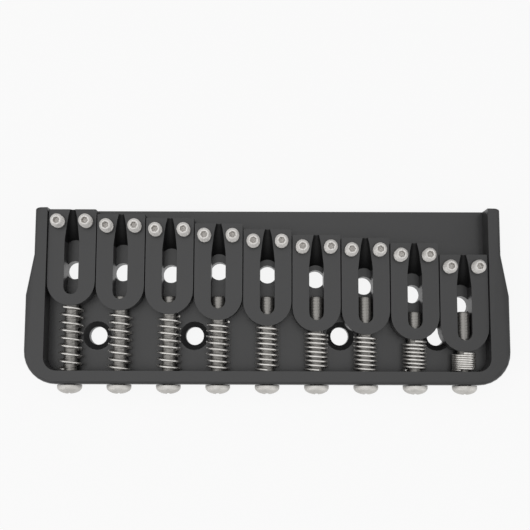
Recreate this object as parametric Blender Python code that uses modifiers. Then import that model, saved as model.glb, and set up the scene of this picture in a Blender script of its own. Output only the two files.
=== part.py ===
# Fixed bridge for a nine string electric guitar. A plate with three walls carries nine saddles. Each saddle
# has an intonation screw through the rear wall, a coil spring round that screw, and two height screws.
# Metres, +Z up, +X from the first string to the ninth, +Y towards the neck.
# The origin is on the underside, in the middle of the row of mounting holes.

import math

import bmesh
import bpy
import numpy as np
from mathutils import Vector

# Strings
STRINGS = 9
STRING_PITCH = 0.0105

# Base plate
FLOOR_THICKNESS = 0.003175
WALL_HEIGHT = 0.00794
NECK_REACH = 0.0273  # mounting row to the neck edge
TAIL_REACH = 0.0104  # mounting row to the outside of the rear wall
REAR_WALL = 0.00285
SIDE_WALL_AT_NECK = 0.00265
SIDE_WALL_AT_TAIL = 0.0042
FLARE_LENGTH = 0.0088  # the side walls thicken over this length
FLARE_END = 0.0084  # mounting row to the end of the flare
NECK_CORNER = 0.0005
TAIL_CORNER = 0.007
TRAY_CORNER = 0.0028
EDGE_ROUND = 0.0006

# Holes in the floor
MOUNT_GAPS = (-3.5, -1.5, 1.5, 3.5)  # each mounting hole lies midway between two strings, in string pitches
MOUNT_HOLE = 0.00395
COUNTERSINK = 0.0062
COUNTERSINK_ANGLE = math.radians(90)
STRING_HOLE = 0.00395
STRING_HOLE_REACHES = (0.0142, 0.0138, 0.01345, 0.0141, 0.0134, 0.0124, 0.0110, 0.0092, 0.0068)

# Saddles
SADDLE_REACHES = (0.0270, 0.0260, 0.0252, 0.0240, 0.0228, 0.0216, 0.0210, 0.0199, 0.0174)
SADDLE_LENGTH = 0.0208
SADDLE_HEIGHT = 0.003925
SADDLE_GAP = 0.0002  # between neighbours
SADDLE_CORNER = 0.00025  # rounds the upright edges at the neck face
SEAT_GAP = 0.0001  # under a saddle and under a height screw
SLOT_WIDTH = 0.0031
SLOT_LAND = 0.00245  # solid metal between the slot and the tail
RAMP_LENGTH = 0.0068
RAMP_UNDERCUT = 0.0001  # how far the ramp's end lies below the saddle
RAMP_SLOPE = 0.3  # the ramp falls as a quarter ellipse, mixed with this share of an even slope
GROOVE_RADIUS = 0.00055  # the string's groove at the neck face
GROOVE_DEPTH = 0.0005
GROOVE_SPREAD = 0.72  # power by which the groove widens along the ramp

# Screws
THREAD = 0.002845
THREAD_GAP = 0.00003
THREAD_LEAD_IN = 0.0004  # chamfer at a screw's end
SCREW_AXIS = 0.0053  # height of the intonation screws above the underside
WALL_HOLE_GAP = 0.0004  # lets the screw tilt in the rear wall
LONG_SCREW = 0.01905
SHORT_SCREW = 0.015875
LONG_SCREWS = 7  # strings with the long screw, counted from the first
HEAD_WIDTH = 0.0054
HEAD_HEIGHT = 0.0019
HEAD_RIM = 0.0009
HEAD_GAP = 0.0003
RECESS_LENGTH = 0.0026
RECESS_WIDTH = 0.0006
RECESS_DEPTH = 0.0010
HEIGHT_SCREW_LENGTH = 0.00628
HEIGHT_SCREW_SPACING = 0.00605
HEIGHT_SCREW_SETBACK = 0.0027
HEX_SOCKET = 0.00127  # across flats
SOCKET_DEPTH = 0.0015

# Springs
SPRING_WIRE = 0.00045
SPRING_WIDTH = 0.00508
SPRING_TURNS = 8
SPRING_OPENING = 0.00042  # least opening between turns
SPRING_GAP = 0.0003  # at each end
SLEEVE_BELOW = 4  # a spring with room for fewer open turns is pressed solid and drawn as a sleeve
CHANNEL_GAP = 0.0001  # round a spring, in the shallow channel that clears it in the floor
CHANNEL_START = 0.0001  # rear wall to the channel
SADDLE_TRAVELS = (0.0003, 0.0013, 0.0021, 0.0033, 0.0045, 0.0057, 0.0063, 0.0047, 0.0068)

# Facets
CORNER_STEPS = 8
HOLE_STEPS = 20
CHANNEL_STEPS = 24
THREAD_STEPS = 16
POST_STEPS = 14
TAIL_STEPS = 14
RAMP_STEPS = 7
GROOVE_STEPS = 6
CURL_POINTS = 9
OVERRUN = 0.001  # how far a cutter passes the face that it opens
WELD = 1e-7

# Worked out from the sizes above
TRAY_HALF = STRINGS * STRING_PITCH / 2
TRAY_END = -TAIL_REACH + REAR_WALL
SADDLE_WIDTH = STRING_PITCH - SADDLE_GAP
SADDLE_BOTTOM = FLOOR_THICKNESS + SEAT_GAP
THREAD_RADIUS = THREAD / 2


def string_x(index):
    return (index - (STRINGS - 1) / 2) * STRING_PITCH


def cleared_scene():
    for obj in list(bpy.data.objects):
        bpy.data.objects.remove(obj, do_unlink=True)
    for collection in list(bpy.data.collections):
        bpy.data.collections.remove(collection)


def new_collection(name):
    collection = bpy.data.collections.new(name)
    bpy.context.scene.collection.children.link(collection)
    return collection


def finish(name, colour, roughness, metallic):
    """A Principled material of one colour."""
    made = bpy.data.materials.new(name)
    made.use_nodes = True
    shader = made.node_tree.nodes["Principled BSDF"]
    shader.inputs["Base Color"].default_value = (*colour, 1.0)
    shader.inputs["Roughness"].default_value = roughness
    shader.inputs["Metallic"].default_value = metallic
    return made


def arc(centre, radius, start, end, steps):
    """Points along an arc, with its angles in degrees."""
    angles = np.radians(np.linspace(start, end, steps + 1))
    return [(centre[0] + radius * math.cos(a), centre[1] + radius * math.sin(a)) for a in angles]


def mirrored(points):
    """The points on the +X side, then the same ones on the -X side in reverse."""
    return points + [(-x, y) for x, y in reversed(points)]


def baked(obj):
    """The evaluated mesh of an object, welded, with flat faces joined."""
    bpy.context.view_layer.update()
    graph = bpy.context.evaluated_depsgraph_get()
    mesh = bpy.data.meshes.new_from_object(obj.evaluated_get(graph))
    work = bmesh.new()
    work.from_mesh(mesh)
    bmesh.ops.remove_doubles(work, verts=work.verts, dist=WELD)
    bmesh.ops.dissolve_limit(work, angle_limit=math.radians(0.05), verts=work.verts, edges=work.edges)
    bmesh.ops.recalc_face_normals(work, faces=work.faces)
    work.to_mesh(mesh)
    work.free()
    return mesh


def plate(name, outline, bottom, top, collection):
    """A flat outline given a thickness, from one height to another."""
    curve = bpy.data.curves.new(name, "CURVE")
    curve.dimensions = "2D"
    curve.fill_mode = "BOTH"
    curve.extrude = (top - bottom) / 2
    spline = curve.splines.new("POLY")
    spline.points.add(len(outline) - 1)
    for point, (x, y) in zip(spline.points, outline):
        point.co = (x, y, 0, 1)
    spline.use_cyclic_u = True
    drawn = bpy.data.objects.new(name + "_outline", curve)
    collection.objects.link(drawn)
    mesh = baked(drawn)
    bpy.data.objects.remove(drawn, do_unlink=True)
    mesh.name = name
    obj = bpy.data.objects.new(name, mesh)
    obj.location.z = (top + bottom) / 2
    collection.objects.link(obj)
    return obj


def turned(name, profile, steps, collection, ring=False, axis="Z"):
    """A profile of (radius, height) points, top to bottom down its outer side, turned round Z or Y."""
    edges = [(i, i + 1) for i in range(len(profile) - 1)]
    if ring:
        edges.append((len(profile) - 1, 0))
    if axis == "Z":
        points = [(radius, 0, height) for radius, height in profile]
    else:
        points = [(radius, height, 0) for radius, height in profile]
    mesh = bpy.data.meshes.new(name)
    mesh.from_pydata(points, edges, [])
    obj = bpy.data.objects.new(name, mesh)
    screw = obj.modifiers.new("turn", "SCREW")
    screw.axis = axis
    screw.angle = 2 * math.pi
    screw.steps = steps
    screw.render_steps = steps
    screw.use_merge_vertices = True
    screw.merge_threshold = WELD
    collection.objects.link(obj)
    return obj


def as_cutter(obj):
    obj.hide_render = True
    obj.display_type = "WIRE"
    return obj


def hole(name, radius, bottom, top, steps, cutters, axis="Z"):
    """A cutter for a round hole along Z or Y."""
    profile = [(0, top), (radius, top), (radius, bottom), (0, bottom)]
    return as_cutter(turned(name, profile, steps, cutters, axis=axis))


def cut(obj, cutter):
    boolean = obj.modifiers.new("cut_" + cutter.name, "BOOLEAN")
    boolean.operation = "DIFFERENCE"
    boolean.object = cutter


def point_along_y(obj):
    """Turns an object made along Z so that its top points to the neck."""
    obj.rotation_euler.x = -math.pi / 2


def clear_radius(radius, gap, steps):
    """The radius of a faceted hole whose flats clear a round piece by the gap."""
    return (radius + gap) / math.cos(math.pi / steps)


def shaded(mesh):
    mesh.shade_smooth()
    mesh.set_sharp_from_angle(angle=math.radians(35))
    return mesh


def placed(name, mesh, location, parent, collection, material):
    """An object with its own material, at a place given in its parent's frame."""
    obj = bpy.data.objects.new(name, mesh)
    obj.location = location
    obj.parent = parent
    collection.objects.link(obj)
    mesh.materials.clear()
    mesh.materials.append(material)
    return obj


# Base plate

def base_outline():
    """The plate seen from above: straight at the neck, flared at the sides, rounded at the tail."""
    neck_half = TRAY_HALF + SIDE_WALL_AT_NECK
    tail_half = TRAY_HALF + SIDE_WALL_AT_TAIL
    corner = (tail_half - TAIL_CORNER, -TAIL_REACH + TAIL_CORNER)
    side = arc((neck_half - NECK_CORNER, NECK_REACH - NECK_CORNER), NECK_CORNER, 90, 0, 2)
    side += [(neck_half, FLARE_END + FLARE_LENGTH), (tail_half, FLARE_END)]
    side += arc(corner, TAIL_CORNER, 0, -90, CORNER_STEPS)
    return mirrored(side)


def tray_outline():
    """The space between the walls, open at the neck."""
    corner = (TRAY_HALF - TRAY_CORNER, TRAY_END + TRAY_CORNER)
    side = [(TRAY_HALF, NECK_REACH + OVERRUN)]
    side += arc(corner, TRAY_CORNER, 0, -90, CORNER_STEPS)
    return mirrored(side)


def round_the_rim(obj):
    """Rounds the upper outer edge along the sides and the tail, and leaves the neck edge square."""
    work = bmesh.new()
    work.from_mesh(obj.data)
    weights = work.edges.layers.float.new("bevel_weight_edge")
    top = max(vertex.co.z for vertex in work.verts)
    for edge in work.edges:
        first, second = (vertex.co for vertex in edge.verts)
        on_top = min(first.z, second.z) > top - WELD
        at_neck = min(first.y, second.y) > NECK_REACH - WELD
        if on_top and not at_neck:
            edge[weights] = 1
    work.to_mesh(obj.data)
    work.free()
    rim = obj.modifiers.new("rim", "BEVEL")
    rim.limit_method = "WEIGHT"
    rim.width = EDGE_ROUND
    rim.segments = 2


def mounting_hole(name, cutters):
    """A cutter for a screw hole with a countersink in the floor's top."""
    narrow = MOUNT_HOLE / 2
    wide = COUNTERSINK / 2
    depth = (wide - narrow) / math.tan(COUNTERSINK_ANGLE / 2)
    profile = [
        (0, WALL_HEIGHT),
        (wide, WALL_HEIGHT),
        (wide, FLOOR_THICKNESS),
        (narrow, FLOOR_THICKNESS - depth),
        (narrow, -OVERRUN),
        (0, -OVERRUN),
    ]
    return as_cutter(turned(name, profile, HOLE_STEPS, cutters))


def base_plate(parts, cutters):
    body = plate("base_plate", base_outline(), 0, WALL_HEIGHT, parts)
    round_the_rim(body)
    cut(body, as_cutter(plate("tray", tray_outline(), FLOOR_THICKNESS, WALL_HEIGHT + OVERRUN, cutters)))
    for number, gap in enumerate(MOUNT_GAPS, 1):
        cutter = mounting_hole(f"mounting_hole_{number}", cutters)
        cutter.location.x = gap * STRING_PITCH
        cut(body, cutter)
    wall_hole = clear_radius(THREAD_RADIUS, WALL_HOLE_GAP, THREAD_STEPS)
    channel_radius = clear_radius(SPRING_WIDTH / 2, CHANNEL_GAP, CHANNEL_STEPS)
    for index, reach in enumerate(STRING_HOLE_REACHES):
        through = hole(
            f"string_hole_{index + 1}", STRING_HOLE / 2, -OVERRUN, WALL_HEIGHT, HOLE_STEPS, cutters
        )
        through.location = (string_x(index), reach, 0)
        cut(body, through)
        rear = hole(
            f"screw_hole_{index + 1}", wall_hole, -REAR_WALL - OVERRUN, OVERRUN, THREAD_STEPS, cutters
        )
        point_along_y(rear)
        rear.location = (string_x(index), TRAY_END, SCREW_AXIS)
        cut(body, rear)
        seat = SADDLE_REACHES[index] - SADDLE_LENGTH - TRAY_END + SADDLE_TRAVELS[index]
        channel = hole(
            f"channel_{index + 1}", channel_radius, CHANNEL_START, seat, CHANNEL_STEPS, cutters, axis="Y"
        )
        channel.location = (string_x(index), TRAY_END, SCREW_AXIS)
        cut(body, channel)
    mesh = baked(body)
    bpy.data.objects.remove(body, do_unlink=True)
    black = finish("black_plate", (0.065, 0.065, 0.066), 0.42, 0.0)
    return placed("base_plate", shaded(mesh), (0, 0, WALL_HEIGHT / 2), None, parts, black)


# Saddles, with the origin on the screw's axis at the neck face

def groove_section(back):
    """Half width and bottom of the string's groove, this far behind the neck face, from the saddle's top."""
    share = min(max(back / RAMP_LENGTH, 0), 1)
    radius = GROOVE_RADIUS + (SLOT_WIDTH / 2 - GROOVE_RADIUS) * share**GROOVE_SPREAD
    end = SADDLE_HEIGHT + SLOT_WIDTH / 2 + RAMP_UNDERCUT
    fall = (1 - math.sqrt(1 - share**2)) * (1 - RAMP_SLOPE) + share * RAMP_SLOPE
    return radius, GROOVE_DEPTH + (end - GROOVE_DEPTH) * fall


def ramp_cutter(top, cutters):
    """A groove with a round bottom, lofted through its sections, that widens and falls away to the tail."""
    shares = np.sin(np.linspace(0, math.pi / 2, RAMP_STEPS + 1))
    backs = [-OVERRUN] + [share * RAMP_LENGTH for share in shares]
    work = bmesh.new()
    rings = []
    for back in backs:
        radius, depth = groove_section(back)
        centre = (0, top - depth + radius)
        section = arc(centre, radius, 180, 360, GROOVE_STEPS)
        roof = top + radius + OVERRUN
        section = [(-radius, roof)] + section + [(radius, roof)]
        rings.append([work.verts.new((x, -back, z)) for x, z in section])
    for near, far in zip(rings, rings[1:]):
        for i in range(len(near)):
            after = (i + 1) % len(near)
            work.faces.new((near[i], near[after], far[after], far[i]))
    work.faces.new(rings[0])
    work.faces.new(rings[-1])
    bmesh.ops.recalc_face_normals(work, faces=work.faces)
    mesh = bpy.data.meshes.new("ramp")
    work.to_mesh(mesh)
    work.free()
    obj = bpy.data.objects.new("ramp", mesh)
    cutters.objects.link(obj)
    return as_cutter(obj)


def saddle_mesh(parts, cutters):
    """One saddle: a block with a half round tail, a slot for the string, a ramp and three threaded holes."""
    half = SADDLE_WIDTH / 2
    bottom = SADDLE_BOTTOM - SCREW_AXIS
    top = bottom + SADDLE_HEIGHT
    tail = -SADDLE_LENGTH
    side = arc((half - SADDLE_CORNER, -SADDLE_CORNER), SADDLE_CORNER, 90, 0, 2)
    side += arc((0, tail + half), half, 0, -90, TAIL_STEPS // 2)
    outline = side + [(-x, y) for x, y in reversed(side[:-1])]
    block = plate("saddle", outline, bottom, top, parts)

    slot_half = SLOT_WIDTH / 2
    slot_end = (0, tail + SLOT_LAND + slot_half)
    slot = [(slot_half, -RAMP_LENGTH)] + arc(slot_end, slot_half, 0, -90, GROOVE_STEPS // 2)
    slot += [(-x, y) for x, y in reversed(slot[:-1])]
    cut(block, as_cutter(plate("slot", slot, bottom - OVERRUN, top + OVERRUN, cutters)))
    cut(block, ramp_cutter(top, cutters))

    thread = clear_radius(THREAD_RADIUS, THREAD_GAP, THREAD_STEPS)
    tapped = hole("tail_thread", thread, -OVERRUN, SLOT_LAND + slot_half, THREAD_STEPS, cutters)
    point_along_y(tapped)
    tapped.location.y = tail
    cut(block, tapped)
    for side_name, sign in (("a", -1), ("b", 1)):
        post = hole(
            f"height_thread_{side_name}",
            THREAD_RADIUS + THREAD_GAP,
            bottom - OVERRUN,
            top + OVERRUN,
            POST_STEPS,
            cutters,
        )
        post.location = (sign * HEIGHT_SCREW_SPACING / 2, -HEIGHT_SCREW_SETBACK, 0)
        cut(block, post)
    mesh = baked(block)
    mesh.transform(block.matrix_world)
    bpy.data.objects.remove(block, do_unlink=True)
    return shaded(mesh)


# Screws

def intonation_screw_mesh(length, parts, cutters):
    """A pan head screw with a cross recess, along Z, with the tip up and the origin under the head."""
    head = HEAD_WIDTH / 2
    dome = [
        (head * math.sin(angle), -HEAD_RIM - (HEAD_HEIGHT - HEAD_RIM) * math.cos(angle))
        for angle in np.radians((90, 62, 36, 0))
    ]
    profile = [
        (0, length),
        (THREAD_RADIUS - THREAD_LEAD_IN, length),
        (THREAD_RADIUS, length - THREAD_LEAD_IN),
        (THREAD_RADIUS, 0),
        (head, 0),
    ]
    screw = turned("screw", profile + dome, THREAD_STEPS, parts)
    for turn in (0, math.pi / 2):
        bpy.ops.mesh.primitive_cube_add(size=1)
        blade = bpy.context.object
        blade.name = f"recess_{math.degrees(turn):.0f}"
        blade.scale = (RECESS_LENGTH, RECESS_WIDTH, RECESS_DEPTH + OVERRUN)
        blade.location.z = -HEAD_HEIGHT + (RECESS_DEPTH - OVERRUN) / 2
        blade.rotation_euler.z = turn
        for home in list(blade.users_collection):
            home.objects.unlink(blade)
        cutters.objects.link(as_cutter(blade))
        cut(screw, blade)
    mesh = baked(screw)
    bpy.data.objects.remove(screw, do_unlink=True)
    return shaded(mesh)


def height_screw_mesh(parts, cutters):
    """A headless screw with a hexagon socket, standing on its foot at the origin."""
    end = THREAD_RADIUS - THREAD_LEAD_IN / 2
    profile = [
        (0, HEIGHT_SCREW_LENGTH),
        (end, HEIGHT_SCREW_LENGTH),
        (THREAD_RADIUS, HEIGHT_SCREW_LENGTH - THREAD_LEAD_IN / 2),
        (THREAD_RADIUS, THREAD_LEAD_IN),
        (THREAD_RADIUS - THREAD_LEAD_IN, 0),
        (0, 0),
    ]
    post = turned("post", profile, POST_STEPS, parts)
    socket_radius = HEX_SOCKET / 2 / math.cos(math.pi / 6)
    socket = hole(
        "hex_socket",
        socket_radius,
        HEIGHT_SCREW_LENGTH - SOCKET_DEPTH,
        HEIGHT_SCREW_LENGTH + OVERRUN,
        6,
        cutters,
    )
    cut(post, socket)
    mesh = baked(post)
    bpy.data.objects.remove(post, do_unlink=True)
    return shaded(mesh)


# Springs, along Z from the rear wall

def spring_room(length):
    """The axial room for turns, after the gap and one straight wire diameter at each end."""
    return length - 2 * (SPRING_GAP + SPRING_WIRE)


def open_turns(length):
    return min(SPRING_TURNS, int(spring_room(length) / (SPRING_WIRE + SPRING_OPENING)))


def spring_points(length):
    """A left handed coil with 9 points a turn, whose ends run straight for one wire diameter."""
    turns = open_turns(length)
    radius = (SPRING_WIDTH - SPRING_WIRE) / 2
    turned_by = np.linspace(0, 2 * math.pi * turns, CURL_POINTS * turns + 1)
    rise = SPRING_GAP + SPRING_WIRE + spring_room(length) * turned_by / turned_by[-1]
    coil = np.column_stack([radius * np.cos(turned_by), -radius * np.sin(turned_by), rise])
    first = coil[0] - (0, 0, SPRING_WIRE)
    last = coil[-1] + (0, 0, SPRING_WIRE)
    return np.vstack([first, coil, last])


def least_opening(points):
    """The least distance between points more than half a turn apart, less the wire's diameter."""
    apart = np.linalg.norm(points[:, None] - points[None], axis=2)
    index = np.arange(len(points))
    near = np.abs(index[:, None] - index[None]) <= CURL_POINTS // 2
    return float(np.where(near, np.inf, apart).min()) - SPRING_WIRE


def coil_object(name, length):
    points = spring_points(length)
    print(f"{name}: {open_turns(length)} turns, least gap {least_opening(points) * 1000:.2f} mm")
    curve = bpy.data.curves.new(name, "CURVE")
    curve.dimensions = "3D"
    curve.bevel_depth = SPRING_WIRE / 2
    curve.bevel_resolution = 1
    curve.use_fill_caps = True
    spline = curve.splines.new("POLY")
    spline.points.add(len(points) - 1)
    for point, place in zip(spline.points, points):
        point.co = (*place, 1)
    return bpy.data.objects.new(name, curve)


def sleeve_object(name, length, collection):
    outer = SPRING_WIDTH / 2
    inner = outer - SPRING_WIRE
    top = length - SPRING_GAP
    profile = [(inner, top), (outer, top), (outer, SPRING_GAP), (inner, SPRING_GAP)]
    print(f"{name}: pressed solid, a sleeve")
    return turned(name, profile, HOLE_STEPS, collection, ring=True)


def spring(name, length, parent, parts, material):
    if open_turns(length) < SLEEVE_BELOW:
        obj = sleeve_object(name, length, parts)
    else:
        obj = coil_object(name, length)
        parts.objects.link(obj)
    obj.parent = parent
    obj.location.y = TRAY_END
    point_along_y(obj)
    obj.data.materials.append(material)
    return obj


# One string's pieces, hung from an empty on the screw's axis

def string_set(index, meshes, parts):
    number = index + 1
    axis = bpy.data.objects.new(f"string_{number}_axis", None)
    axis.location = (string_x(index), 0, SCREW_AXIS)
    parts.objects.link(axis)

    front = SADDLE_REACHES[index]
    saddle = meshes["saddle"].copy()
    black = finish(f"black_saddle_{number}", (0.068, 0.068, 0.069), 0.4, 0.0)
    placed(f"saddle_{number}", saddle, (0, front, 0), axis, parts, black)

    steel = finish(f"steel_intonation_screw_{number}", (0.62, 0.61, 0.59), 0.3, 1.0)
    screw_mesh = meshes["long_screw" if number <= LONG_SCREWS else "short_screw"].copy()
    under_head = (0, -TAIL_REACH - HEAD_GAP, 0)
    screw = placed(f"intonation_screw_{number}", screw_mesh, under_head, axis, parts, steel)
    point_along_y(screw)

    wire = finish(f"spring_wire_{number}", (0.60, 0.59, 0.57), 0.32, 1.0)
    spring_length = front - SADDLE_LENGTH - TRAY_END
    spring(f"spring_{number}", spring_length, axis, parts, wire)

    for side_name, sign in (("a", -1), ("b", 1)):
        post_steel = finish(f"steel_height_screw_{number}{side_name}", (0.66, 0.65, 0.63), 0.3, 1.0)
        foot = Vector(
            (sign * HEIGHT_SCREW_SPACING / 2, front - HEIGHT_SCREW_SETBACK, SADDLE_BOTTOM - SCREW_AXIS)
        )
        post = meshes["height_screw"].copy()
        placed(f"height_screw_{number}{side_name}", post, foot, axis, parts, post_steel)


def build():
    cleared_scene()
    parts = new_collection("fixed_bridge")
    cutters = new_collection("cutters")
    base_plate(parts, cutters)
    meshes = {
        "saddle": saddle_mesh(parts, cutters),
        "height_screw": height_screw_mesh(parts, cutters),
        "long_screw": intonation_screw_mesh(LONG_SCREW, parts, cutters),
        "short_screw": intonation_screw_mesh(SHORT_SCREW, parts, cutters),
    }
    for index in range(STRINGS):
        string_set(index, meshes, parts)


build()
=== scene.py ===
import math

import bmesh
import bpy
import numpy as np
from mathutils import Matrix, Vector


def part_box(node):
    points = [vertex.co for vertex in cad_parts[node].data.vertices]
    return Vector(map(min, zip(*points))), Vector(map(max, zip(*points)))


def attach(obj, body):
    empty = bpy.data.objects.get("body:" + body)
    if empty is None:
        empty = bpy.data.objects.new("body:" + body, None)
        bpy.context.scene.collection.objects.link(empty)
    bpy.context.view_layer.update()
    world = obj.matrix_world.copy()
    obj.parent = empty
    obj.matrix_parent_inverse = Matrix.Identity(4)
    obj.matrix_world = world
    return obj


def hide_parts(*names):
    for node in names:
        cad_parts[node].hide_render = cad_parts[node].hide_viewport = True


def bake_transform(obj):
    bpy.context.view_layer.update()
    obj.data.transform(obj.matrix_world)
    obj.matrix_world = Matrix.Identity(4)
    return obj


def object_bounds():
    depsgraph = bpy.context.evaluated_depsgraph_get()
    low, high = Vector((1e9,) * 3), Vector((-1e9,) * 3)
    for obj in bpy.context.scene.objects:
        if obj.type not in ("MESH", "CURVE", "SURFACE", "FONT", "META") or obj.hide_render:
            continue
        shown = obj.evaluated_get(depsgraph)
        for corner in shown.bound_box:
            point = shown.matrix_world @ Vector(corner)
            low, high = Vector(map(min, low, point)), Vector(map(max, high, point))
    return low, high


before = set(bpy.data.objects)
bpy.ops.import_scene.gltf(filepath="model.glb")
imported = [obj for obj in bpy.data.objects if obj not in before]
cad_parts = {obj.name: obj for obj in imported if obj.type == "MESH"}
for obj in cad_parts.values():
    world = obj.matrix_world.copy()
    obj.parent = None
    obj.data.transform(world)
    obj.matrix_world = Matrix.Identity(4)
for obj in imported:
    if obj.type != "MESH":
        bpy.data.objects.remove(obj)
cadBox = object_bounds()

# Fixed bridge with nine saddles. Lengths are metres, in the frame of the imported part:
# +X along the saddles, +Y towards the neck, +Z up.

mm = 0.001
strings = range(1, 10)
screwAxisHeight = 5.3 * mm
rearWallInside = -7.55 * mm


# Meshes

def addMesh(name, points, faces):
    mesh = bpy.data.meshes.new(name)
    mesh.from_pydata(points, [], faces)
    mesh.update()
    piece = bpy.data.objects.new(name, mesh)
    bpy.context.scene.collection.objects.link(piece)
    return piece


def ringedSolid(name, rings, sharpAngle):
    # Rings of points one after another, shape (rings, points round, 3). Quads join each ring to the next,
    # and a fan to the ring's mean point closes each end. The faces are turned out if the volume is negative.
    count, around, _ = rings.shape
    index = np.arange(count * around).reshape(count, around)
    after = np.roll(index, -1, axis=1)
    quads = np.stack([index[:-1], after[:-1], after[1:], index[1:]], axis=-1).reshape(-1, 4)
    points = np.vstack([rings.reshape(-1, 3), rings[0].mean(axis=0), rings[-1].mean(axis=0)])
    start = np.full(around, count * around)
    caps = np.vstack([
        np.stack([after[0], index[0], start], axis=-1),
        np.stack([index[-1], after[-1], start + 1], axis=-1),
    ])
    corners = points[np.vstack([quads[:, [0, 1, 2]], quads[:, [0, 2, 3]], caps])]
    if np.linalg.det(corners - points[0]).sum() < 0:
        quads, caps = quads[:, ::-1], caps[:, ::-1]
    piece = addMesh(name, points.tolist(), quads.tolist() + caps.tolist())
    piece.data.shade_smooth()
    piece.data.set_sharp_from_angle(angle=math.radians(sharpAngle))
    return piece


def alongY(centre, along, radius, angle):
    # A point at this distance along +Y and this radius from the axis, the angle going from +X to +Z.
    along, radius, angle = np.broadcast_arrays(along, radius, angle)
    return np.stack([
        centre[0] + radius * np.cos(angle), centre[1] + along, centre[2] + radius * np.sin(angle)
    ], axis=-1)


def alongZ(centre, height, radius, angle):
    # A point at this height along +Z and this radius from the axis, the angle going from +X to +Y.
    height, radius, angle = np.broadcast_arrays(height, radius, angle)
    return np.stack([
        centre[0] + radius * np.cos(angle), centre[1] + radius * np.sin(angle), centre[2] + height
    ], axis=-1)


def threadRadius(along, angle, outside, depth, pitch, hand):
    # The outside radius less a groove, whose place runs round with the angle by one pitch a turn. The
    # groove is whole over a flat root, a sixth of the pitch wide, and falls evenly to nothing at a crest
    # as wide. Hand is 1 along Y and -1 along Z, which makes both threads right handed.
    place = np.mod(along / pitch + hand * angle / (2 * math.pi), 1)
    groove = np.clip(1.25 - 3.0 * np.abs(place - 0.5), 0, 1)
    return outside - depth * groove


solidCopy = {
    "mergeDistance": 1e-7,
    "flatAngle": 0.05,
    "sharpAngle": 40,
}


def dressedCopy(node, name, edges=None):
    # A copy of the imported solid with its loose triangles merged, shaded smooth over its rounds. Where
    # edges are given, flat faces are joined and the edges get a small round, as deburring leaves.
    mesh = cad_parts[node].data.copy()
    mesh.name = name
    work = bmesh.new()
    work.from_mesh(mesh)
    bmesh.ops.remove_doubles(work, verts=work.verts, dist=solidCopy["mergeDistance"])
    if edges:
        flat = math.radians(solidCopy["flatAngle"])
        bmesh.ops.dissolve_limit(work, angle_limit=flat, verts=work.verts, edges=work.edges)
    work.to_mesh(mesh)
    work.free()
    for attribute in ("custom_normal", "sharp_edge", "sharp_face"):
        if attribute in mesh.attributes:
            mesh.attributes.remove(mesh.attributes[attribute])
    mesh.materials.clear()
    mesh.shade_smooth()
    mesh.set_sharp_from_angle(angle=math.radians(solidCopy["sharpAngle"]))
    piece = bpy.data.objects.new(name, mesh)
    bpy.context.scene.collection.objects.link(piece)
    if edges:
        bevel = piece.modifiers.new("deburred", "BEVEL")
        bevel.limit_method = "ANGLE"
        bevel.angle_limit = math.radians(edges["angle"])
        bevel.width = edges["round"]
        bevel.segments = edges["segments"]
        bevel.use_clamp_overlap = True
        bevel.miter_outer = "MITER_ARC"
    weighted = piece.modifiers.new("flat faces stay flat", "WEIGHTED_NORMAL")
    weighted.keep_sharp = True
    return piece


# Shader maths

class Value:
    # One socket. Arithmetic on it adds Math nodes, so a formula reads as a formula.
    def __init__(self, finish, socket):
        self.finish, self.socket = finish, socket

    def maths(self, operation, first, second=0.0):
        return self.finish.node("ShaderNodeMath", {"operation": operation}, {0: first, 1: second})

    def __add__(self, other):
        return self.maths("ADD", self, other)

    def __sub__(self, other):
        return self.maths("SUBTRACT", self, other)

    def __rsub__(self, other):
        return self.maths("SUBTRACT", other, self)

    def __mul__(self, other):
        return self.maths("MULTIPLY", self, other)

    __radd__, __rmul__ = __add__, __mul__

    def between(self, low, high):
        # 0 below low, 1 above high, and an S curve between
        return self.finish.node(
            "ShaderNodeMapRange", {"interpolation_type": "SMOOTHSTEP"},
            {"Value": self, "From Min": low, "From Max": high},
        )


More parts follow.
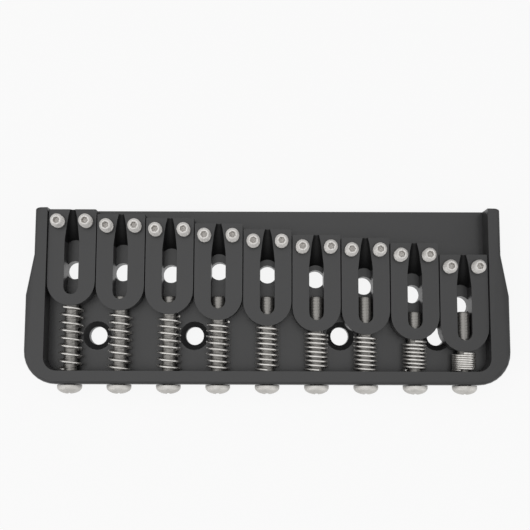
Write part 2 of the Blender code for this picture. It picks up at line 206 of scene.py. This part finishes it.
class Finish:
    # One material, or the world, and its nodes.
    def __init__(self, name, world=None):
        self.material = world or bpy.data.materials.new(name)
        self.material.use_nodes = True
        self.tree = self.material.node_tree
        self.tree.nodes.clear()
        self.output = self.tree.nodes.new("ShaderNodeOutputWorld" if world else "ShaderNodeOutputMaterial")

    def node(self, kind, settings=None, inputs=None, out=0):
        made = self.tree.nodes.new(kind)
        for key, value in (settings or {}).items():
            setattr(made, key, value)
        for key, value in (inputs or {}).items():
            socket = made.inputs[key]
            if isinstance(value, Value):
                self.tree.links.new(value.socket, socket)
            elif socket.type == "RGBA":
                socket.default_value = (*value, 1)
            else:
                socket.default_value = value
        return Value(self, made.outputs[out])

    def place(self, scale=(1, 1, 1), move=(0, 0, 0)):
        # Object coordinates, moved and then scaled
        found = self.node("ShaderNodeTexCoord", out="Object")
        moved = self.node("ShaderNodeVectorMath", {"operation": "ADD"}, {0: found, 1: move})
        return self.node("ShaderNodeVectorMath", {"operation": "MULTIPLY"}, {0: moved, 1: scale})

    def noise(self, place, size, detail, roughness=0.5):
        return self.node(
            "ShaderNodeTexNoise", {"noise_dimensions": "3D"},
            {"Vector": place, "Scale": 1 / size, "Detail": detail, "Roughness": roughness},
        )

    def mixed(self, share, first, second):
        # Colours: first where share is 0, second where it is 1
        return self.node(
            "ShaderNodeMix", {"data_type": "RGBA"}, {0: share, 6: first, 7: second}, out=2
        )

    def insideRamp(self, ramp):
        # 1 below the top face, within the half width and behind the front, fading at each border
        place = self.place()
        x, y, z = (self.node("ShaderNodeSeparateXYZ", None, {0: place}, out=axis) for axis in range(3))
        aside = x.maths("ABSOLUTE", x - ramp["middle"])
        rear = ramp["front"] - ramp["length"]
        deep, shallow = ramp["topFade"]
        across = 1 - aside.between(ramp["halfWidth"], ramp["halfWidth"] + ramp["sideFade"])
        below = 1 - z.between(ramp["top"] - deep, ramp["top"] - shallow)
        behind = 1 - y.between(ramp["front"] - ramp["frontFade"], ramp["front"])
        ahead = y.between(rear - ramp["rearFade"], rear)
        return across * below * behind * ahead

    def bump(self, height, strength, distance):
        return self.node(
            "ShaderNodeBump", None, {"Height": height, "Strength": strength, "Distance": distance}
        )

    def shader(self, **sockets):
        names = {
            "colour": "Base Color", "roughness": "Roughness", "metal": "Metallic", "normal": "Normal",
            "gloss": "Specular IOR Level",
        }
        found = {names[key]: value for key, value in sockets.items()}
        return self.node("ShaderNodeBsdfPrincipled", None, found)

    def surface(self, shader):
        self.tree.links.new(shader.socket, self.output.inputs["Surface"])
        return self.material


# Finishes. Each piece's patterns are moved by its own seed, so that no two pieces are marked alike.

firstSeed = {"plate": 1, "saddle": 10, "intonationScrew": 0, "heightScrew": 20, "spring": 60}

blackCoat = {
    "colour": (0.0225, 0.0225, 0.0232),
    "worn": (0.031, 0.031, 0.0318),
    "roughness": 0.36,
    "shift": (0.0371, 0.0193, 0.0117),
    "grainSize": 0.11 * mm,
    "grainGloss": 0.12,
    "grainStrength": 0.35,
    "grainDepth": 0.004 * mm,
    "cloudSize": 9 * mm,
    "cloudRange": (0.35, 0.7),
    "cloudTone": 0.55,
    "cloudGloss": 0.16,
    "speckSize": 0.44 * mm,
    "speckRange": (0.62, 0.74),
    "speckTone": 0.25,
    # The ramp's colour is a painted shade: the coat inside a saddle's string ramp is painted much darker
    # than the rest.
    "ramp": {"colour": (0.007, 0.007, 0.0072), "roughness": 0.60, "gloss": 0.24},
}


def shifted(seed, shift):
    return tuple(seed * part for part in shift)


def satinBlack(name, seed, tone=1.0, ramp=None):
    # A baked black coat: fine even grain, and faint clouds in its gloss and tone. Where a saddle's ramp
    # is given, with its place and its fading borders, the coat there is duller and painted much darker: a
    # painted shade.
    look = blackCoat
    finish = Finish(name)
    place = finish.place(move=shifted(seed, look["shift"]))
    grain = finish.noise(place, look["grainSize"], detail=2.0)
    clouds = finish.noise(place, look["cloudSize"], detail=4.0, roughness=0.6)
    specks = finish.noise(place, look["speckSize"], detail=2.0).between(*look["speckRange"])
    low = tuple(tone * channel for channel in look["colour"])
    high = tuple(tone * channel for channel in look["worn"])
    share = clouds.between(*look["cloudRange"]) * look["cloudTone"] + specks * look["speckTone"]
    colour = finish.mixed(share, low, high)
    roughness = (clouds - 0.5) * look["cloudGloss"] + (grain - 0.5) * look["grainGloss"] + look["roughness"]
    normal = finish.bump(grain, look["grainStrength"], look["grainDepth"])
    coat = finish.shader(colour=colour, roughness=roughness, normal=normal)
    if ramp:
        # Painted shade: the ramp's darker colour stands for shade; its higher roughness and lower gloss make
        # it duller.
        dullPaintedShade = finish.shader(normal=normal, **look["ramp"])
        coat = finish.node("ShaderNodeMixShader", None, {0: finish.insideRamp(ramp), 1: coat, 2: dullPaintedShade})
    return finish.surface(coat)


def bareSteel(name, seed, look, shank=None):
    # Bare steel: fine marks stretched along the way that it was drawn or turned, and faint stains.
    # Where shank is given, what lies ahead of it along Y, the thread, is less rough and painted darker: a
    # painted shade.
    finish = Finish(name)
    place = finish.place(scale=look["stretch"], move=shifted(seed, look["shift"]))
    marks = finish.noise(place, look["markSize"], detail=3.0, roughness=0.6)
    stainPlace = finish.place(move=shifted(seed, look["stainShift"]))
    stains = finish.noise(stainPlace, look["stainSize"], detail=3.0)
    share = stains.between(*look["stainRange"]) * look["stainTone"] + (marks - 0.5) * look["markTone"]
    colour = finish.mixed(share, look["colour"], look["stain"])
    roughness = (marks - 0.5) * look["markGloss"] + look["roughness"]
    if shank is not None:
        along = finish.node("ShaderNodeSeparateXYZ", None, {0: finish.place()}, out=1)
        ahead = along.between(shank - look["threadFade"], shank + look["threadFade"])
        # Painted shade: the thread's darker colour.
        colour = finish.mixed(ahead, colour, look["thread"])
        roughness = roughness + ahead * (look["threadRoughness"] - look["roughness"])
    normal = finish.bump(marks, look["markStrength"], look["markDepth"])
    return finish.surface(
        finish.shader(colour=colour, roughness=roughness, metal=look["metal"], normal=normal)
    )


turnedSteel = {
    "colour": (0.59, 0.576, 0.552),
    "stain": (0.48, 0.466, 0.442),
    "roughness": 0.56,
    "metal": 0.75,
    "shift": (0.0291, 0.0173, 0.0237),
    "stretch": (1, 0.2, 1),
    "markSize": 0.09 * mm,
    "markTone": 0.3,
    "markGloss": 0.22,
    "markStrength": 0.3,
    "markDepth": 0.004 * mm,
    "stainShift": (0, 0, 0.0137),
    "stainSize": 1.6 * mm,
    "stainRange": (0.4, 0.72),
    "stainTone": 0.6,
    # The thread's colour is painted shade, darker than the head's steel.
    "thread": (0.240, 0.232, 0.219),
    "threadRoughness": 0.40,
    "threadFade": 0.2 * mm,
}
setScrewSteel = turnedSteel | {
    "colour": (0.73, 0.711, 0.688),
    "stain": (0.65, 0.63, 0.606),
    "roughness": 0.58,
    "metal": 0.5,
    "stretch": (1, 1, 0.2),
}
springWire = turnedSteel | {
    "colour": (0.64, 0.625, 0.60),
    "roughness": 0.36,
    "metal": 0.9,
    "stretch": (0.25, 1, 0.25),
    "markSize": 0.06 * mm,
}


def finishPiece(piece, material, node, body=None):
    piece.data.materials.append(material)
    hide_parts(node)
    if body:
        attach(piece, body)


# Base plate

plate = dressedCopy("base_plate", "plate")
finishPiece(plate, satinBlack("plateCoat", firstSeed["plate"]), "base_plate", "base")
print("base plate done")


# Saddles

saddleLook = {
    "toneSpread": 0.04,
    "toneStep": 2.3,
    "edges": {"round": 0.13 * mm, "angle": 40, "segments": 2},
    # The ramp's place and fading borders, where the saddle coat gets its painted shade.
    "ramp": {
        "halfWidth": 1.6 * mm,
        "length": 6.8 * mm,
        "sideFade": 0.1 * mm,
        "topFade": (0.12 * mm, 0.02 * mm),
        "frontFade": 0.15 * mm,
        "rearFade": 0.3 * mm,
    },
}

for string in strings:
    node = f"saddle_{string}"
    saddle = dressedCopy(node, f"saddleBlock{string}", saddleLook["edges"])
    tone = 1.0 + saddleLook["toneSpread"] * math.sin(saddleLook["toneStep"] * string)
    low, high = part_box(node)
    ramp = saddleLook["ramp"] | {"middle": (low.x + high.x) / 2, "front": high.y, "top": high.z}
    coat = satinBlack(f"saddleCoat{string}", firstSeed["saddle"] + string, tone, ramp)
    finishPiece(saddle, coat, node, node)
print("saddles done")


# Intonation screws

panScrew = {
    "thread": 2.845 * mm,
    "threadDepth": 0.05 * mm,
    "threadPitch": 0.635 * mm,
    "ringsPerPitch": 8,
    "tip": 0.30 * mm,
    "tipWidth": 2.3 * mm,
    "tipRings": 4,
    "neck": 0.35 * mm,
    "neckShare": 0.94,
    "headWidth": 5.25 * mm,
    "headHeight": 1.93 * mm,
    "headRim": 0.5 * mm,
    "rimEdge": 0.12 * mm,
    "rimRings": 4,
    "domeEnds": (90, 34),
    "domeRings": 9,
    "recessLength": 2.7 * mm,
    "recessWidth": 0.62 * mm,
    "recessDepth": 1.05 * mm,
    "recessLip": 0.05 * mm,
    "recessLipDepth": 0.06 * mm,
    "recessLengthAtFloor": 0.55,
    "recessWidthAtFloor": 0.8,
    "pointShare": 0.3,
    "pointDepth": 0.12 * mm,
    "armSteps": 4,
    "cornerSteps": 6,
    "sharpAngle": 35,
    "forward": 0.12 * mm,
}


def crossOutline(angle, halfLength, halfWidth):
    # The radius at which a ray from the middle leaves a plus sign. Inside an arm the ray meets the arm's
    # end or its side, whichever is nearer.
    turn = np.abs(np.mod(angle + math.pi / 4, math.pi / 2) - math.pi / 4)
    end = halfLength / np.cos(turn)
    side = halfWidth / np.maximum(np.sin(turn), 1e-9)
    return np.minimum(end, side)


def crossAngles(spec):
    # Angles that hit each corner of the recess, with even steps between.
    corner = math.atan(spec["recessWidth"] / spec["recessLength"])
    quarter = np.concatenate([
        np.linspace(-math.pi / 4, -corner, spec["cornerSteps"], endpoint=False),
        np.linspace(-corner, corner, spec["armSteps"], endpoint=False),
        np.linspace(corner, math.pi / 4, spec["cornerSteps"], endpoint=False),
    ])
    return np.concatenate([quarter + turn * math.pi / 2 for turn in range(4)])


def panHeadScrew(name, centre, length, spec):
    # A surface of rings along the screw. The shank's radius is the thread's, drawn in at the tip and
    # under the head. The head is a rim and a quarter ellipse, and its rings end in the cross recess,
    # whose outline narrows with depth.
    angle = crossAngles(spec)[None, :]
    radius = spec["thread"] / 2
    step = spec["threadPitch"] / spec["ringsPerPitch"]
    tipAlong = np.linspace(length, length - spec["tip"], spec["tipRings"])[:, None]
    bodyAlong = np.arange(length - spec["tip"], spec["neck"], -step)[:, None]
    along = np.vstack([tipAlong[:-1], bodyAlong, [[spec["neck"]], [0.0]]])
    share = np.clip((length - along) / spec["tip"], 0, 1)
    taper = spec["tipWidth"] / 2 + (radius - spec["tipWidth"] / 2) * np.sqrt(share)
    threaded = threadRadius(along, angle, radius, spec["threadDepth"], spec["threadPitch"], 1)
    fade = np.clip((along - spec["neck"]) / spec["threadPitch"], 0, 1)
    shank = np.minimum(threaded * fade + radius * spec["neckShare"] * (1 - fade), taper)
    rings = [alongY(centre, along, shank, angle)]

    half, edge, rim = spec["headWidth"] / 2, spec["rimEdge"], spec["headRim"]
    corner = np.radians(np.linspace(0, 90, spec["rimRings"]))[:, None]
    rings.append(alongY(centre, -edge * (1 - np.cos(corner)), half - edge * (1 - np.sin(corner)), angle))
    rise = spec["headHeight"] - rim
    dome = np.radians(np.linspace(*spec["domeEnds"], spec["domeRings"]))[:, None]
    rings.append(alongY(centre, -rim - rise * np.cos(dome), half * np.sin(dome), angle))

    halfLength, halfWidth, lip = spec["recessLength"] / 2, spec["recessWidth"] / 2, spec["recessLip"]
    opening = crossOutline(angle, halfLength, halfWidth)
    outer = crossOutline(angle, halfLength + lip, halfWidth + lip)
    narrow = crossOutline(
        angle, halfLength * spec["recessLengthAtFloor"], halfWidth * spec["recessWidthAtFloor"]
    )
    lipAlong = -rim - rise * np.sqrt(1 - (outer / half) ** 2)
    floor = np.full_like(angle, -spec["headHeight"] + spec["recessDepth"])
    recess = (
        (lipAlong, outer),
        (lipAlong + spec["recessLipDepth"], opening),
        (floor, narrow),
        (floor + spec["pointDepth"], narrow * spec["pointShare"]),
    )
    rings += [alongY(centre, level, size, angle) for level, size in recess]
    return ringedSolid(name, np.vstack(rings), spec["sharpAngle"])


for string in strings:
    node = f"intonation_screw_{string}"
    low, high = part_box(node)
    underHead = low.y + panScrew["headHeight"] + panScrew["forward"]
    centre = ((low.x + high.x) / 2, underHead, screwAxisHeight)
    screw = panHeadScrew(f"intonationScrew{string}", centre, high.y - underHead, panScrew)
    seed = firstSeed["intonationScrew"] + string
    steel = bareSteel(f"intonationSteel{string}", seed, turnedSteel, underHead + panScrew["neck"])
    finishPiece(screw, steel, node, node)
print("intonation screws done")


# Height screws

setScrew = {
    "thread": 2.845 * mm,
    "threadDepth": 0.30 * mm,
    "threadPitch": 0.635 * mm,
    "ringsPerPitch": 12,
    "sides": 48,
    "plainTop": 0.2 * mm,
    "footChamfer": 0.45 * mm,
    "topChamfer": 0.45 * mm,
    "topInset": 0.45 * mm,
    "socket": 1.27 * mm,
    "socketDepth": 1.5 * mm,
    "socketLip": 0.05 * mm,
    "pointShare": 0.3,
    "pointDepth": 0.2 * mm,
    "sharpAngle": 35,
    "turnPerString": 17,
    "turnOfSecond": 31,
}


def hexOutline(angle, acrossFlats):
    # The radius of a hexagon: half its width across flats, over the cosine of the angle from the middle
    # of the nearest flat.
    turn = np.mod(angle, math.pi / 3) - math.pi / 6
    return acrossFlats / 2 / np.cos(turn)


def socketScrew(name, centre, height, turned, spec):
    # Rings up the threaded outside, over the cone of the top's chamfer, and down the hexagon
    # socket to a cone. The thread runs out within one pitch of the plain top.
    angle = (np.arange(spec["sides"]) * 2 * math.pi / spec["sides"])[None, :]
    radius, pitch, chamfer = spec["thread"] / 2, spec["threadPitch"], spec["topChamfer"]
    up = np.arange(spec["footChamfer"], height - chamfer, pitch / spec["ringsPerPitch"])[:, None]
    ends = np.array([[0.0], [spec["footChamfer"] / 2]])
    heights = np.vstack([ends, up, [[height - chamfer], [height]]])
    below = np.clip((height - spec["plainTop"] - heights) / pitch, 0, 1)
    threaded = threadRadius(heights, angle, radius, spec["threadDepth"] * below, pitch, -1)
    foot = radius - spec["footChamfer"] + heights
    top = radius - spec["topInset"] * (1 - (height - heights) / chamfer)
    outside = np.minimum(np.minimum(threaded, foot), top)
    rings = [alongZ(centre, heights, outside, angle)]
    lip = hexOutline(angle, spec["socket"] + 2 * spec["socketLip"])
    hexagon = hexOutline(angle, spec["socket"])
    floor = height - spec["socketDepth"]
    socket = (
        (height, lip),
        (height - spec["socketLip"], hexagon),
        (floor, hexagon),
        (floor - spec["pointDepth"], hexagon * spec["pointShare"]),
    )
    rings += [alongZ(centre, level, size, angle) for level, size in socket]
    screw = ringedSolid(name, np.vstack(rings), spec["sharpAngle"])
    there = Matrix.Translation(centre)
    screw.data.transform(there @ Matrix.Rotation(turned, 4, "Z") @ there.inverted())
    return screw


for string in strings:
    for second, side in enumerate("ab"):
        node = f"height_screw_{string}{side}"
        low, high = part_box(node)
        centre = ((low.x + high.x) / 2, (low.y + high.y) / 2, low.z)
        turned = math.radians(setScrew["turnPerString"] * string + setScrew["turnOfSecond"] * second)
        screw = socketScrew(f"heightScrew{string}{side}", centre, high.z - low.z, turned, setScrew)
        seed = firstSeed["heightScrew"] + 2 * string + second
        steel = bareSteel(f"heightSteel{string}{side}", seed, setScrewSteel)
        finishPiece(screw, steel, node, node)
print("height screws done")


# Springs

spring = {
    "width": 5.08 * mm,
    "wire": 0.45 * mm,
    "turns": (8.04, 7.77, 8.05, 8.14, 8.21, 8.31, 7.72, 7.84, 7.95),
    "turnedAtSaddle": (-0.60, 2.87, 2.09, 1.86, -1.31, -1.78, 3.22, -0.10, -0.20),
    "pointsPerTurn": 48,
    "sides": 12,
    "endGap": 0.03 * mm,
    "sharpAngle": 50,
}


def coilSpring(name, string, x, wall, tail, spec):
    # A left handed helix: x goes as the sine of the turned angle and z as its cosine, while y falls
    # evenly from the saddle's tail to the wall. Each spring lies turned by its own angle. The wire's
    # rings stand square to the helix, in the plane of its outward and sideways directions.
    reach = (spec["width"] - spec["wire"]) / 2
    first, turns = spec["turnedAtSaddle"][string - 1], spec["turns"][string - 1]
    turned = np.linspace(first, first + 2 * math.pi * turns, round(turns * spec["pointsPerTurn"]) + 1)
    margin = spec["wire"] / 2 + spec["endGap"]
    y = np.linspace(tail - margin, wall + margin, len(turned))
    slope = (y[-1] - y[0]) / (turned[-1] - turned[0])
    outward = np.stack([np.sin(turned), np.zeros_like(turned), np.cos(turned)], axis=-1)
    middle = np.array([x, 0, screwAxisHeight]) + reach * outward
    middle[:, 1] = y
    level = np.full_like(turned, slope)
    tangent = np.stack([reach * np.cos(turned), level, -reach * np.sin(turned)], axis=-1)
    tangent /= np.linalg.norm(tangent, axis=1, keepdims=True)
    sideways = np.cross(tangent, outward)
    around = np.arange(spec["sides"]) * 2 * math.pi / spec["sides"]
    offset = (
        outward[:, None] * np.cos(around)[None, :, None] + sideways[:, None] * np.sin(around)[None, :, None]
    )
    rings = middle[:, None] + spec["wire"] / 2 * offset
    return ringedSolid(name, rings, spec["sharpAngle"])


def stretchEvenly(piece):
    # Reads the coil's points into an array; nothing is moved.
    points = np.empty(len(piece.data.vertices) * 3, np.float32)
    piece.data.vertices.foreach_get("co", points)


for string in strings:
    node = f"spring_{string}"
    saddleLow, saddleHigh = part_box(f"saddle_{string}")
    x, tail = (saddleLow.x + saddleHigh.x) / 2, saddleLow.y
    coil = coilSpring(f"springCoil{string}", string, x, rearWallInside, tail, spring)
    steel = bareSteel(f"springSteel{string}", firstSeed["spring"] + string, springWire)
    finishPiece(coil, steel, node)
    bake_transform(coil)
    stretchEvenly(coil)
print("springs done")


# Floor, light and camera

studio = {
    "floorWidth": 3.0,
    "floorGap": 0.02 * mm,
    "floorColour": (0.90, 0.90, 0.90),
    "backgroundColour": (0.992, 0.992, 0.992),
    "shadowShare": 0.10,
    "skyColour": (1.0, 1.0, 1.0),
    "skyStrength": 0.31,
    "skyMirrored": 0.82,
    "skySeen": 0.95,
}


def seenDirectly(finish):
    # 1 for camera, glossy and transmission rays, which see the background itself.
    rays = [finish.node("ShaderNodeLightPath", out=name) for name in (
        "Is Camera Ray", "Is Glossy Ray", "Is Transmission Ray"
    )]
    added = rays[0] + rays[1] + rays[2]
    return added.maths("MINIMUM", added, 1.0)


def floorPiece():
    half = studio["floorWidth"] / 2
    low = cadBox[0].z - studio["floorGap"]
    corners = [(-half, -half, low), (half, -half, low), (half, half, low), (-half, half, low)]
    floor = addMesh("studioFloor", corners, [(0, 1, 2, 3)])
    finish = Finish("studioFloorPaint")
    diffuse = finish.node("ShaderNodeBsdfDiffuse", None, {"Color": studio["floorColour"]})
    glow = finish.node(
        "ShaderNodeEmission", None, {"Color": studio["backgroundColour"], "Strength": 1.0}
    )
    share = seenDirectly(finish) * (1 - studio["shadowShare"])
    mix = finish.node("ShaderNodeMixShader", None, {0: share, 1: diffuse, 2: glow})
    floor.data.materials.append(finish.surface(mix))


def skyLight():
    # The sky is brighter in mirror images than as a light, as a large soft box would be, and where it
    # is seen itself it has the floor's tone.
    world = bpy.data.worlds.new("studioSky")
    finish = Finish("studioSky", world)
    strength = seenDirectly(finish) * (studio["skyMirrored"] - studio["skyStrength"])
    seen = finish.node("ShaderNodeLightPath", out="Is Camera Ray")
    strength = strength + seen * (studio["skySeen"] - studio["skyMirrored"]) + studio["skyStrength"]
    finish.surface(finish.node(
        "ShaderNodeBackground", None, {"Color": studio["skyColour"], "Strength": strength}
    ))
    bpy.context.scene.world = world


lamps = {
    "overhead": {"at": (-0.08, 0.02, 0.55), "size": 0.60, "power": 0.98},
    "left": {"at": (-0.60, -0.30, 0.25), "size": 0.6, "power": 1.10},
    "right": {"at": (0.60, -0.30, 0.25), "size": 0.6, "power": 1.10},
}


def addLamp(name, spec):
    # A square lamp that shines at the origin.
    light = bpy.data.lights.new(name, "AREA")
    light.shape = "SQUARE"
    light.size = spec["size"]
    light.energy = spec["power"]
    lamp = bpy.data.objects.new(name, light)
    lamp.location = spec["at"]
    lamp.rotation_euler = (-Vector(spec["at"])).to_track_quat("-Z", "Y").to_euler()
    bpy.context.scene.collection.objects.link(lamp)


# The camera stands where the photograph's plan view was fitted: its place, its small tilts in radians,
# and its focal length and the square picture's width in pixels.
camera = {
    "at": (-0.4719 * mm, -6.4922 * mm, 192.6189 * mm),
    "tilt": 0.1154546,
    "yaw": 0.0002468,
    "roll": 0.0030528,
    "focalPixels": 872.1516,
    "picturePixels": 530,
    "sensorWidth": 36,
    "seesFrom": 0.005,
    "seesTo": 20,
}


def addCamera():
    lens = bpy.data.cameras.new("photoCamera")
    lens.sensor_fit = "HORIZONTAL"
    lens.sensor_width = camera["sensorWidth"]
    lens.lens = camera["focalPixels"] / camera["picturePixels"] * camera["sensorWidth"]
    lens.clip_start = camera["seesFrom"]
    lens.clip_end = camera["seesTo"]
    eye = bpy.data.objects.new("photoCamera", lens)
    turn = (
        Matrix.Rotation(camera["tilt"], 4, "X")
        @ Matrix.Rotation(camera["yaw"], 4, "Y")
        @ Matrix.Rotation(camera["roll"], 4, "Z")
    )
    eye.matrix_world = Matrix.Translation(camera["at"]) @ turn
    bpy.context.scene.collection.objects.link(eye)
    bpy.context.scene.camera = eye


floorPiece()
skyLight()
for name, spec in lamps.items():
    addLamp(name + "Lamp", spec)
addCamera()
bpy.context.scene.view_settings.view_transform = "Standard"
print("studio done")
